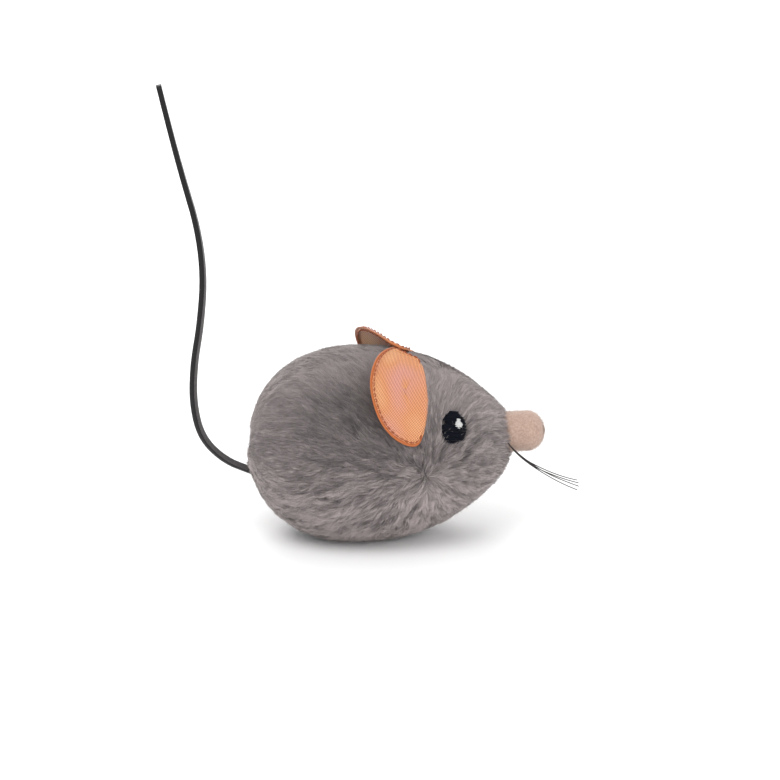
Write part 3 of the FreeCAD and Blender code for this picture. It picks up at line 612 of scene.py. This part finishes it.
def blades(centre, outward, width):
    """Tapered blades along rows of four points: seven points and five faces each, facing out."""
    along = unit(centre[:, 3] - centre[:, 0])
    roll = pile_rng.normal(0, 0.5, len(centre))[:, None]
    across = unit(np.cross(along, outward))
    facing = np.cross(across, along)
    rolled_across = across * np.cos(roll) + facing * np.sin(roll)
    rolled_facing = facing * np.cos(roll) - across * np.sin(roll)
    half = rolled_across[:, None] * (width / 2 * np.array([1.0, 0.9, 0.6]))[None, :, None]
    points = np.empty((len(centre), 7, 3))
    points[:, 0:6:2] = centre[:, :3] - half
    points[:, 1:6:2] = centre[:, :3] + half
    points[:, 6] = centre[:, 3]
    pattern = np.array([(0, 1, 3), (0, 3, 2), (2, 3, 5), (2, 5, 4), (4, 5, 6)])
    faces = (np.arange(len(centre))[:, None, None] * 7 + pattern).reshape(-1, 3)
    normals = np.repeat(unit(outward * 0.5 + rolled_facing * 0.5), 7, axis=0)
    return points.reshape(-1, 3), faces, normals


def plant(name, centre, outward, width, material):
    """A fur piece: blades of one material, shaded half as the surface that they grow from."""
    points, faces, normals = blades(centre * mm, outward, width * mm)
    thing = new_piece(name, points, faces, material)
    thing.data.normals_split_custom_set_from_vertices(normals.tolist())
    return thing


for number, grey in enumerate(tone_greys):
    fibre = new_material(f"fibre_grey_{number + 1}", tuple(grey * tone_tint), 0.6,
                         Sheen_Weight=0.8, Sheen_Roughness=0.35, Sheen_Tint=(1.0, 0.95, 0.92, 1),
                         Specular_IOR_Level=0.3)
    add_grain(fibre, 3000, 0.01 * mm, (0.5, 0.75))
    chosen = np.flatnonzero(keep & (shade == number))
    for batch in range(0, len(chosen), piece_limit):
        some = chosen[batch:batch + piece_limit]
        name = f"pile_grey_{number + 1}_{batch // piece_limit + 1}"
        fit(plant(name, standing[some], outward[some], fibre_width, fibre), "body", "grey_plush")


# ----------------------------------------------------------------------------------------------
# Ears: two layers of pearly orange satin, sewn right sides together, turned, lightly stuffed
# and top-stitched 1.5 mm inside the rim. The front edge is caught in a slit in the cover.
# ----------------------------------------------------------------------------------------------
stitch_inset = 1.5
satin_pitch = 0.80
rim_samples = 144
edge_rings = [0, 0.35, 0.75, 1.15, 1.5, 1.9, 2.5]
stitch_ring = 4
inner_rings = 11
far_from_rim = 9.0
rim_roll, groove_half = 0.38, 0.45
plumpness, plump_reach = 0.65, 2.5
open_half, open_reach = 0.95, 1.2


def ear_flat(x, angle, front_x):
    """Where a point of the ear lies on the flat cloth: the cone, unrolled."""
    slant = ear_under_radius(x, front_x) / sin(ear_stand_off)
    turn = (angle - radians(45)) * sin(ear_stand_off)
    return np.stack([slant * np.sin(turn), slant * np.cos(turn)], -1)


def ear_curl(flat, proud, front_x, side):
    """Roll flat cloth back on to the cone, with each point so far proud of its middle layer."""
    slant = np.hypot(flat[:, 0], flat[:, 1])
    angle = np.arctan2(flat[:, 0], flat[:, 1]) / sin(ear_stand_off) + radians(45)
    under = slant * sin(ear_stand_off)
    x = front_x - (under - ear_under_radius(front_x, front_x)) / tan(ear_stand_off)
    out = ear_thickness / 2 + proud
    rolled = round_body(x + out * sin(ear_stand_off), angle, under + out * cos(ear_stand_off))
    rolled[:, 1] *= -side
    return lift_nose(rolled)


def ear_pattern(hand, front_x):
    """The flat pillow: points, the distance of each point from the rim, which points lie along the sewn
    front edge, and the number of rows.
    """
    outline = ear_outline(hand, rim_samples)
    x, height = outline[:, 0], outline[:, 1]
    highest = sin(pi / 2 - ear_tilt)
    middle_r = ear_under_radius(x, front_x) + ear_thickness / 2
    angle = ear_tilt + np.arcsin(np.clip(height / middle_r, -1, highest))
    rim = ear_flat(x, np.minimum(angle, radians(87)), front_x)
    centre = rim.mean(axis=0)
    toward = centre - rim
    reach = np.linalg.norm(toward, axis=1, keepdims=True)
    rows = [rim + toward / reach * d for d in edge_rings]
    rows += [rows[-1] + (centre - rows[-1]) * t for t in np.arange(1, inner_rings) / inner_rings]
    flat = np.concatenate(rows + [centre[None]])
    from_rim = np.concatenate([np.linalg.norm(row - rim, axis=1) for row in rows] + [[far_from_rim]])
    sewn = x > front_x - 2.0
    return flat, from_rim, np.tile(sewn, len(rows)), len(rows)


def pillow_faces(rows, n):
    """Faces of the outer layer, then of the inner one, which share the rim."""
    top_centre = rows * n
    bottom = top_centre + 1
    bottom_centre = bottom + (rows - 1) * n

    def under(r, j):
        return j if r == 0 else bottom + (r - 1) * n + j

    faces = []
    for r in range(rows - 1):
        for j in range(n):
            k = (j + 1) % n
            faces.append((r * n + j, (r + 1) * n + j, (r + 1) * n + k, r * n + k))
            faces.append((under(r + 1, j), under(r, j), under(r, k), under(r + 1, k)))
    for j in range(n):
        k = (j + 1) % n
        faces.append(((rows - 1) * n + j, top_centre, (rows - 1) * n + k))
        faces.append((bottom_centre, under(rows - 1, j), under(rows - 1, k)))
    return faces


def inflate(points, faces, pinned, pressure, frames, most):
    """Blow up a sewn pillow by cloth simulation, in centimetres, and return its new points."""
    size = 0.1
    mesh = bpy.data.meshes.new("pillow")
    mesh.from_pydata((points * size).tolist(), [], faces)
    pillow = bpy.data.objects.new("pillow", mesh)
    bpy.context.collection.objects.link(pillow)
    pillow.vertex_groups.new(name="sewn").add(pinned, 1.0, "REPLACE")
    cloth = pillow.modifiers.new("cloth", "CLOTH")
    cloth.settings.vertex_group_mass = "sewn"
    cloth.settings.use_pressure = True
    cloth.settings.uniform_pressure_force = pressure
    cloth.settings.quality = 6
    cloth.settings.effector_weights.gravity = 0
    cloth.collision_settings.use_collision = False
    for frame_number in range(1, frames + 1):
        bpy.context.scene.frame_set(frame_number)
    blown = pillow.evaluated_get(bpy.context.evaluated_depsgraph_get()).to_mesh()
    moved = np.array([v.co for v in blown.vertices]) / size - points
    bpy.data.objects.remove(pillow)
    bpy.context.scene.frame_set(1)
    far = np.linalg.norm(moved, axis=1, keepdims=True)
    return points + moved * np.minimum(1, most / np.maximum(far, 1e-9))


def satin_material():
    """Satin: rows of bright floats over deeper orange, noise patches of painted pale highlight and painted
    pink-violet sheen, and a deep rim.
    """
    material = new_material("pearly_satin", (0.60, 0.20, 0.07), 0.4, Sheen_Weight=0.06, Sheen_Roughness=0.4,
                            Sheen_Tint=(1.0, 0.65, 0.45, 1), Specular_IOR_Level=0.22)
    tree = material.node_tree
    link = tree.links.new
    shader = tree.nodes["Principled BSDF"]

    def node(kind, **values):
        made = tree.nodes.new(kind)
        for name, value in values.items():
            if hasattr(made, name):
                setattr(made, name, value)
            else:
                made.inputs[name.replace("_", " ")].default_value = value
        return made

    def math(operation, a, b=0.0):
        made = node("ShaderNodeMath", operation=operation)
        for socket, value in zip(made.inputs, (a, b)):
            if isinstance(value, (int, float)):
                socket.default_value = value
            else:
                link(value, socket)
        return made.outputs[0]

    def mix(factor, a, b):
        made = node("ShaderNodeMix", data_type="RGBA")
        sockets = {socket.identifier: socket for socket in made.inputs}
        for name, value in (("Factor_Float", factor), ("A_Color", a), ("B_Color", b)):
            if isinstance(value, tuple):
                sockets[name].default_value = (*value, 1)
            else:
                link(value, sockets[name])
        return next(socket for socket in made.outputs if socket.type == "RGBA")

    def ripple(place):
        return math("SINE", math("MULTIPLY", place, 2 * pi / satin_pitch))

    cut = node("ShaderNodeAttribute", attribute_name="cut_place")
    split = node("ShaderNodeSeparateXYZ")
    link(cut.outputs["Vector"], split.inputs[0])
    u, v, rim = split.outputs
    across = ripple(math("ADD", u, math("MULTIPLY", v, 0.5)))
    along = ripple(math("SUBTRACT", v, math("MULTIPLY", u, 0.5)))
    weave = math("ADD", math("MULTIPLY", math("MULTIPLY", across, along), 0.9), 0.5)
    painted_sheen_noise = node("ShaderNodeTexNoise", Scale=0.06, Detail=0.0)
    link(cut.outputs["Vector"], painted_sheen_noise.inputs["Vector"])
    cloth = mix(weave, (0.20, 0.045, 0.012), (0.82, 0.38, 0.18))
    # Painted highlight (pale yellow-orange) and painted sheen (pink-violet), laid into the base colour in
    # patches that a noise places.
    painted_highlight_patch = (0.50, 0.85, (0.24, 0.07, 0.02), (0.98, 0.62, 0.32))
    painted_violet_sheen_patch = (0.50, 0.10, (0.20, 0.06, 0.05), (0.78, 0.40, 0.40))
    for low, high, dark, light in (painted_highlight_patch, painted_violet_sheen_patch):
        painted_sheen_share = node("ShaderNodeMapRange", From_Min=low, From_Max=high)
        link(painted_sheen_noise.outputs["Fac"], painted_sheen_share.inputs["Value"])
        cloth = mix(painted_sheen_share.outputs["Result"], cloth, mix(weave, dark, light))
    edge = node("ShaderNodeMapRange", From_Min=stitch_inset - 0.7, From_Max=stitch_inset - 0.2)
    link(rim, edge.inputs["Value"])
    colour = mix(edge.outputs["Result"], (0.42, 0.12, 0.035), cloth)
    link(colour, shader.inputs["Base Color"])
    bump = node("ShaderNodeBump", Distance=0.03 * mm)
    link(weave, bump.inputs["Height"])
    link(bump.outputs["Normal"], shader.inputs["Normal"])
    gloss = node("ShaderNodeMapRange", To_Min=0.52, To_Max=0.34)
    link(weave, gloss.inputs["Value"])
    link(gloss.outputs["Result"], shader.inputs["Roughness"])
    return material


satin = satin_material()
ear_thread = finish("orange_thread", (0.30, 0.065, 0.015), 0.6, 3000, 0.03)
stitch_length, stitch_gap, stitch_radius = 1.5, 0.55, 0.22
stitch_rings, stitch_sides = 7, 8
stitch_share = np.linspace(0, 1, stitch_rings)
stitch_rise = 0.50 * np.sin(pi * stitch_share) ** 0.6 - 0.2
stitch_taper = np.sqrt(np.sin(pi * np.linspace(0.12, 0.88, stitch_rings)))[:, None, None]
for hand, front_x in ear_front.items():
    flat, from_rim, sewn, rows = ear_pattern(hand, front_x)
    sewn = np.append(sewn, False)
    lip = rim_roll * np.sin(pi * np.clip(from_rim / stitch_inset, 0, 1)) ** 0.6
    lip += groove_half * from_rim / stitch_inset
    belly = groove_half + plumpness * (1 - np.exp((stitch_inset - from_rim) / plump_reach))
    open_edge = open_half * (1 - np.exp(-from_rim / open_reach))
    half = np.where(sewn, open_edge, np.where(from_rim < stitch_inset, lip, belly))
    half[from_rim < 1e-6] = 0
    outer = np.column_stack([flat, half])
    inner = np.column_stack([flat, -half])[rim_samples:]
    points = np.vstack([outer, inner])
    faces = pillow_faces(rows, rim_samples)
    inner_start = len(outer) - rim_samples
    at_stitches = [stitch_ring * rim_samples + j for j in range(rim_samples) if j % 4 and not sewn[j]]
    pinned = list(range(rim_samples)) + at_stitches + [inner_start + p for p in at_stitches]
    points = inflate(points, faces, pinned, pressure=4.0, frames=20, most=1.0)

    # The middle of each layer is set level with the ring round it.
    for centre in (rows * rim_samples, len(points) - 1):
        points[centre] = points[centre - rim_samples:centre].mean(axis=0)
    curled = ear_curl(points[:, :2], points[:, 2], front_x, ear_side[hand])
    ear_faces = faces if hand == "right" else [tuple(reversed(face)) for face in faces]
    ear = new_piece("satin_ear_" + hand, curled * mm, ear_faces, satin)
    cut_place = ear.data.attributes.new("cut_place", "FLOAT_VECTOR", "POINT")
    rim_distance = np.where(sewn, far_from_rim, from_rim)
    rim_distance = np.concatenate([rim_distance, rim_distance[rim_samples:]])
    cut_place.data.foreach_set("vector", np.column_stack([points[:, :2], rim_distance]).ravel())
    smoother = ear.modifiers.new("smooth", "SUBSURF")
    smoother.levels = smoother.render_levels = 1
    fit(ear, "body", "orange_satin", "ear_" + hand)

    # Top stitching on both faces: each stitch rises from the cloth and dives back into it.
    order = [j for j in range(rim_samples) if not sewn[j]]
    gap_at = next(i for i in range(len(order)) if order[i] != order[i - 1] + 1)
    order = order[gap_at:] + order[:gap_at]
    seam_start = stitch_ring * rim_samples
    stitch_points, stitch_faces = [], []
    for layer, start in ((1, seam_start), (-1, inner_start + seam_start)):
        seam = curled[[start + j for j in order]]
        travelled = np.concatenate([[0], np.cumsum(np.linalg.norm(np.diff(seam, axis=0), axis=1))])
        for begin in np.arange(0.4, travelled[-1] - stitch_length, stitch_length + stitch_gap):
            place = begin + stitch_share * stitch_length
            line = np.stack([np.interp(place, travelled, seam[:, axis]) for axis in range(3)], -1)
            outward_here = unit(line.mean(axis=0) * [0, 1, 1] - [0, 0, axis_z])
            line = line + layer * outward_here * stitch_rise[:, None]
            thick = circle(stitch_radius, stitch_sides) * stitch_taper
            first = stitch_rings * stitch_sides * len(stitch_points)
            stitch_faces += loft_faces(stitch_rings, stitch_sides, first)
            stitch_points.append(loft(line, thick, outward_here).reshape(-1, 3))
    stitch_points = np.concatenate(stitch_points) * mm
    stitches = new_piece("ear_stitches_" + hand, stitch_points, stitch_faces, ear_thread)
    fit(stitches, "body", "orange_satin")


# ----------------------------------------------------------------------------------------------
# Eyes: rows of navy satin stitch, sewn through the cover in an upright oval with ragged ends,
# and a few pale stitches for the glint. The pile around them leans over their edges.
# ----------------------------------------------------------------------------------------------
thread_rings, thread_sides = 11, 6
thread_layer, thread_arch, thread_sunk = 0.12, 0.40, 0.35


def satin_stitch(x_middle, angle_middle, width, height, side, rise, seed, thread, ragged, notch):
    """Level rows of thread that fill an oval on one flank, notched above the middle at the rear."""
    rng = np.random.default_rng(seed)
    row_pitch = thread * 1.35
    share = np.linspace(0, 1, thread_rings)
    count = int(height / row_pitch)
    points, faces = [], []
    for layer, row in [(layer, row) for layer in range(3) for row in range(count + 1)]:
        up = (row / count - 0.5) * height * 0.93 + rng.normal(0, 0.06) + 0.5 * layer * row_pitch
        chord = width / 2 * max(0.15, 1 - (2 * up / height) ** 2) ** 0.5
        ends = chord + rng.normal(0, ragged, 2)
        ends[0] -= notch * exp(-((up - 0.13 * height) / 0.7) ** 2)
        x = x_middle + np.linspace(-ends[0], ends[1], thread_rings)
        bow = rng.normal() * np.sin(pi * share)
        tilt = np.linspace(*rng.normal(size=2), thread_rings)
        sag = 0.35 * ragged * (bow + tilt)
        cover_r = radius_at(x, 0.9)
        angle = angle_middle + (up + sag) / cover_r
        out = rise + thread_layer * layer + thread_arch * np.sin(pi * share) ** 0.5 - thread_sunk
        out += rng.normal(0, 0.04)
        line = round_body(x, angle, cover_r + out)
        line[:, 1] *= -side
        thick = circle(thread / 2, thread_sides) * rng.uniform(0.85, 1.15)
        faces += loft_faces(thread_rings, thread_sides, thread_rings * thread_sides * len(points))
        points.append(loft(lift_nose(line), thick, (0, 0, 1)).reshape(-1, 3))
    return np.concatenate(points) * mm, faces


glint_x, glint_angle = eye_x + 1.8, eye_angle + 0.055
glint_width, glint_height = 2.3, 2.5
navy = finish("navy_thread", (0.0020, 0.0032, 0.0085), 0.75, 2500, 0.03, dark=0.5, Specular_IOR_Level=0.12)
pale = finish("pale_thread", (0.56, 0.56, 0.55), 0.5, 2500, 0.03)
for hand, side in ear_side.items():
    eye_rows = satin_stitch(eye_x, eye_angle, eye_width, eye_height, side,
                            rise=0.20, seed=21, thread=0.38, ragged=0.26, notch=1.5)
    eye = new_piece("sewn_eye_" + hand, *eye_rows, navy)
    fit(eye, "body", "navy_thread", "eye_" + hand)
    glint_rows = satin_stitch(glint_x, glint_angle, glint_width, glint_height, side,
                              rise=0.66, seed=22, thread=0.34, ragged=0.10, notch=0)
    glint = new_piece("sewn_glint_" + hand, *glint_rows, pale)
    fit(glint, "body", "pale_thread", "eye_glint_" + hand)


# ----------------------------------------------------------------------------------------------
# Nose: a plug of pale felted wool, sewn over the tip of the snout. It is blunt at the end, a
# little lumpy, and has a short fuzz of loose wool all over.
# ----------------------------------------------------------------------------------------------
nose_tip_x, nose_base_x, nose_round = 44.2, 28.0, 5.74
fuzz_room = 0.18
broad_lump, fine_lump = 0.13, 0.05
bend = np.linspace(0, pi / 2, 14)
profile_x = np.concatenate([np.linspace(nose_base_x, nose_tip_x - nose_round, 16)[:-1],
                            nose_tip_x - nose_round + nose_round * np.sin(bend)])
profile_r = np.concatenate([np.full(15, nose_radius), nose_radius - nose_round + nose_round * np.cos(bend)])
cap_r = np.linspace(nose_radius - nose_round, 0.05, 5)[1:]
profile_x = np.append(profile_x, nose_tip_x + 0.12 * (1 - (cap_r / (nose_radius - nose_round)) ** 2))
profile_r = np.append(profile_r, cap_r)
nose_columns = 72
nose_turn = np.linspace(0, 2 * pi, nose_columns, endpoint=False)
nose_grid = np.stack([profile_x[:, None] + 0 * nose_turn, profile_r[:, None] * np.cos(nose_turn),
                      axis_z + nose_rise + profile_r[:, None] * np.sin(nose_turn)], -1)
nose_centre = np.array([nose_tip_x - nose_round, 0, axis_z + nose_rise])
nose_out = unit((nose_grid - nose_centre) * np.array([0.0, 1, 1])
                + np.maximum(0, nose_grid - nose_centre) * np.array([1.0, 0, 0]) + 1e-6)
nose_points = nose_grid.reshape(-1, 3)
lumps = broad_lump * waves(nose_points, 7, 31) + fine_lump * waves(nose_points, 1.6, 32)
nose_points = nose_points + nose_out.reshape(-1, 3) * (lumps - fuzz_room)[:, None]
nose_faces = [face[::-1] for face in loft_faces(len(profile_x), nose_columns)]
felt = new_material("wool_felt", (0.40, 0.28, 0.225), 0.95, Sheen_Weight=0.3, Sheen_Roughness=0.5)
felt_grain = add_grain(felt, 1500, 0.08 * mm, (0.85, 1.0))
add_mottle(felt, felt_grain, (0.355, 0.235, 0.18), (0.46, 0.33, 0.27))
nose = new_piece("felt_nose", lift_nose(nose_points) * mm, nose_faces, felt)
fit(nose, "body", "felt", "nose")

fuzz_rng = np.random.default_rng(33)
fuzz_count = 9000
fuzz_scatter, fuzz_width = 0.18, 0.06
fuzz_row = fuzz_rng.integers(6, len(profile_x) - 1, fuzz_count)
fuzz_column = fuzz_rng.integers(0, nose_columns, fuzz_count)
nose_standing = lift_nose(nose_points).reshape(len(profile_x), nose_columns, 3)
fuzz_root = nose_standing[fuzz_row, fuzz_column] + fuzz_rng.normal(0, fuzz_scatter, (fuzz_count, 3))
fuzz_out = nose_out[fuzz_row, fuzz_column]
fuzz_lean = unit(fuzz_out * 0.55 + unit(fuzz_rng.normal(size=(fuzz_count, 3))))
fuzz_curl = unit(fuzz_rng.normal(size=(fuzz_count, 3)))
fuzz_length = fuzz_rng.uniform(0.25, 0.75, fuzz_count)[:, None]
fuzz = [fuzz_root + fuzz_length * (t * fuzz_lean + 0.35 * t * t * fuzz_curl) for t in (0, 0.33, 0.67, 1)]
wool = new_material("loose_wool", (0.45, 0.325, 0.265), 0.8, Sheen_Weight=0.3)
add_grain(wool, 3000, 0.01 * mm, (0.7, 0.9))
fit(plant("nose_fuzz", np.stack(fuzz, 1), fuzz_out, fuzz_width, wool), "body", "felt")


# ----------------------------------------------------------------------------------------------
# Whiskers: four stiff black threads on each side, knotted in the seam under the nose. They
# swing down and forward together on the right, and back along the cheek on the left.
# ----------------------------------------------------------------------------------------------
whisker_thread = finish("waxed_black_thread", (0.018, 0.014, 0.014), 0.45, 2500, 0.02)
whisker_bends = {
    "right": [(31.4, -6.9, 34.8), (38.4, -8.4, 25.2), (56.2, -10.4, 20.2)],
    "left": [(31.4, 6.9, 34.8), (30.0, 18.0, 25.2), (20.0, 30.0, 21.0)],
}
whisker_radius = 0.2
whisker_rings, whisker_sides = 26, 7
fan_spread, bow_scatter, kink_depth = 1.75, 0.35, 0.10
whisker_rng = np.random.default_rng(41)
for hand, (start, middle, end) in whisker_bends.items():
    points, faces = [], []
    for fan in (-1.0, -0.25, 0.45, 1.0):
        t = np.linspace(0, 1, whisker_rings)[:, None]
        tip = np.array(end) + [-0.7 * abs(fan), 0, fan_spread * fan]
        bow = np.array(middle) + whisker_rng.normal(0, bow_scatter, 3)
        kink = kink_depth * np.sin(pi * t) * np.sin(8 * t + 3 * fan) * np.array([0, 0.5, 1])
        line = (1 - t) ** 2 * np.array(start) + 2 * t * (1 - t) * bow + t ** 2 * tip + kink
        thick = circle(whisker_radius, whisker_sides) * np.linspace(1, 0.8, whisker_rings)[:, None, None]
        faces += loft_faces(whisker_rings, whisker_sides, whisker_rings * whisker_sides * len(points))
        points.append(loft(line, thick, (0.1, 0.2, 1)).reshape(-1, 3))
    points = np.concatenate(points) * mm
    whiskers = new_piece("thread_whiskers_" + hand, points, faces, whisker_thread)
    fit(whiskers, "body", "black_thread", "whiskers_" + hand)


# ----------------------------------------------------------------------------------------------
# The studio: a pale table, white surroundings, and three large soft lights: a key above, a fill
# from the front, and one behind.
# ----------------------------------------------------------------------------------------------
table_half = 8.0
table_corners = [(x * table_half, y * table_half, 0) for x, y in ((-1, -1), (1, -1), (1, 1), (-1, 1))]
table_top = new_material("table_top", (0.9, 0.9, 0.9), 0.9)
table = new_piece("table", table_corners, [(0, 1, 2, 3)], table_top)
world = bpy.data.worlds.new("studio")
bpy.context.scene.world = world
world.use_nodes = True
surroundings = world.node_tree.nodes["Background"]
surroundings.inputs["Color"].default_value = (1, 1, 1, 1)
surroundings.inputs["Strength"].default_value = 1.0
bpy.context.scene.view_settings.view_transform = "Standard"


light_size = 0.6


def soft_light(name, place, power):
    """A round lamp that faces the middle of the picture."""
    lamp = bpy.data.objects.new(name, bpy.data.lights.new(name, "AREA"))
    lamp.data.shape = "DISK"
    lamp.data.size = light_size
    lamp.data.energy = power
    lamp.location = place
    lamp.rotation_mode = "QUATERNION"
    lamp.rotation_quaternion = (look_at - Vector(place)).to_track_quat("-Z", "Y")
    bpy.context.collection.objects.link(lamp)


soft_light("key_light", (-0.25, -0.45, 0.80), 3.2)
soft_light("fill_light", (0.60, -0.50, 0.30), 1.8)
soft_light("rear_light", (-0.20, 0.70, 0.55), 3.0)
